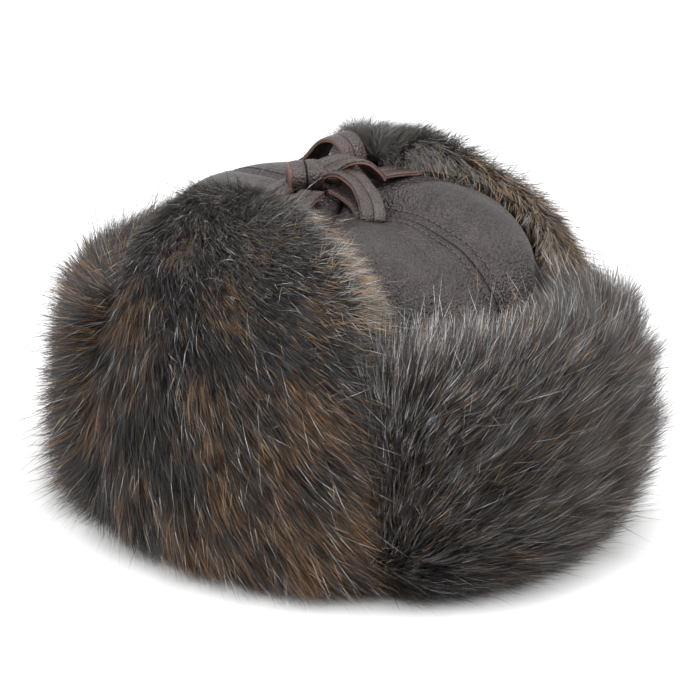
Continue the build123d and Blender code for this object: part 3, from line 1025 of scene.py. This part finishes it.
def strap(name, body, path, ups, node, wide=TIE_MM):
    """A flat strap swept along a smooth path in mm. ups are the directions that its
    upper face looks in at the path's points. Its section is a flat oval with a groove
    down the middle of both faces, and its sides are two folded edges with a gap."""
    line = smooth_path(np.hstack([path, ups]), 90)
    line[:, 2] -= BOW_SINK_MM if body == "bow" else 0
    centre, up = line[:, :3] / 1000, line[:, 3:]
    along = unit(np.gradient(centre, axis=0))
    side = unit(np.cross(along, up))
    up = np.cross(side, along)
    half = []
    for x, y in (
        (-1.0, 0.30), (-0.97, 0.72), (-0.86, 0.97), (-0.5, 1.06), (-0.09, 0.96), (-0.03, 0.72),
        (0.03, 0.72), (0.09, 0.96), (0.5, 1.06), (0.86, 0.97), (0.97, 0.72), (1.0, 0.30),
    ):
        half.append((x * wide / 2, y * TIE_DEEP_MM / 2))
    notch = (wide / 2 - NOTCH_MM, 0.0)
    ring = np.array([*half, notch, *((-x, -y) for x, y in half), (-notch[0], 0.0)]) / 1000
    points = centre[:, None] + ring[:, :1] * side[:, None] + ring[:, 1:] * up[:, None]
    wave = waves(points, 0.012, 8)[..., None] * (points - centre[:, None])
    points = points + 0.035 * wave
    columns = len(ring)
    faces = tube_faces(len(centre), columns, False)
    piece = new_piece(name, points, faces, body, [tie_leather, raw_edge, painted_recess_shade])
    tones = []
    for k in range(columns):
        # Faces in the groove down the middle of each face are near black, painted shade; the faces
        # round the two folded edges are the pale raw edge.
        tones.append(1 if k % 13 in (0, 11, 12) else 2 if k % 13 == 5 else 0)
    count = len(piece.data.polygons)
    index = np.array((tones * len(centre))[: (len(centre) - 1) * columns] + [1] * columns)[:count]
    piece.data.polygons.foreach_set("material_index", index.astype(np.int32))
    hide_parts(node)


X, Y, Z = np.eye(3)
strap(
    "bow_front_strap",
    "bow",
    [(-1, 19, 156), (3.5, 8, 160.2), (2.2, -3, 161.5), (-2.5, -15, 159.2), (-7, -24, 155),
     (-11.5, -29, 149.4), (-9, -25, 147.6), (-3, -16, 150.2), (1.5, -5, 152), (4, 6, 152.5)],
    [Z - 0.2 * Y, Z - 0.1 * Y, Z - 0.2 * Y, Z - 0.5 * Y, Z - 0.9 * Y - 0.3 * X,
     -Y - 0.5 * X, -Z - 0.3 * Y, -Z, -Z, -Z],
    "bow_loop_front",
)
strap(
    "bow_cross_strap",
    "bow",
    [(-3, 17, 158), (0, 13.8, 160.6), (4.2, 9.8, 163.4), (9.8, 5.6, 165.2), (15.6, 2.2, 163.4),
     (20.2, -0.2, 158.6), (23, -1.2, 154.6)],
    [Z - X, Z - X, Z - 0.6 * X, Z, Z + 0.6 * X, Z + X, Z + 0.7 * X],
    "bow_strap",
)
strap(
    "bow_back_strap",
    "bow",
    [(9, 12, 153), (17, 13.4, 154), (22, 12.4, 160), (22.5, 15.4, 167), (22.5, 22, 169.6),
     (22, 29.5, 166.2), (21.5, 35.5, 158), (19, 37, 152), (11, 32, 151), (0, 26, 152)],
    [Z, Z - Y, -Y, Z - Y, Z + 0.1 * Y, Z + Y, Y, Y + 0.2 * Z, -Z, -Z],
    "bow_loop_back",
    wide=15.5,
)
strap(
    "bow_tail_strap",
    "bow",
    [(-2, 22, 154), (-9, 24.4, 153.6), (-16, 24.4, 152.8), (-21.5, 23.4, 151.6)],
    [Z, Z, Z - 0.1 * X, Z - 0.3 * X],
    "bow_tail",
)
strap(
    "tie_right_strap",
    "ear_flap_right",
    [(-44, -4, 150.8), (-30, 0, 151.6), (-13.6, 6, 152)],
    [Z, Z, Z],
    "tie_right",
)
strap(
    "tie_left_strap",
    "ear_flap_left",
    [(48, -6, 150.5), (39.4, -4, 151.9), (31, -2.4, 153), (24.4, -1.0, 153.4)],
    [Z + 0.3 * X, Z, Z, Z],
    "tie_left",
)


def wrapped_knot(a, b, radii, turns=64):
    """The strap's wrap round the knot: a ring about the axis a to b with a rounded
    section, squeezed at both ends, with a fold round its middle that painted shade
    darkens."""
    a, b = np.array(a), np.array(b)
    axis = (b - a) / np.linalg.norm(b - a)
    side = unit(np.cross(Z, axis))
    up = np.cross(axis, side)
    share = np.array([0, 0, 0.015, 0.07, 0.2, 0.35, 0.47, 0.5])
    share = np.r_[share, 1 - share[-2::-1]]
    fat = np.array([0.02, 0.6, 0.84, 0.96, 1.03, 1.04, 1.0, 0.93])
    fat = np.r_[fat, fat[-2::-1]]
    angle = np.linspace(0, 2 * math.pi, turns, endpoint=False)
    lump = 1 + 0.05 * np.sin(2 * angle + 0.6) + 0.03 * np.sin(3 * angle)
    spoke = np.cos(angle)[:, None] * side * radii[0] + np.sin(angle)[:, None] * up * radii[1]
    points = (
        a + share[:, None, None] * (b - a) + (fat[:, None] * lump)[..., None] * spoke[None]
    ) / 1000
    faces = tube_faces(len(share), turns, False)
    tones = [tie_leather, raw_edge, painted_recess_shade]
    knot = new_piece("bow_knot_wrap", points, faces, "bow", tones)
    # Rows of pale raw edge near both ends; the two middle rows are near black, painted shade in the
    # fold.
    rows = np.repeat([0, 1, 1, 0, 0, 0, 2, 2, 0, 0, 0, 1, 1, 0], turns)
    index = np.r_[rows, np.zeros(len(knot.data.polygons) - len(rows))]
    knot.data.polygons.foreach_set("material_index", index.astype(np.int32))
    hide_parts("bow_knot")


wrapped_knot((-9.8, 25.2, 154.2), (3.2, 14.8, 154.6), (7.5, 7.3))
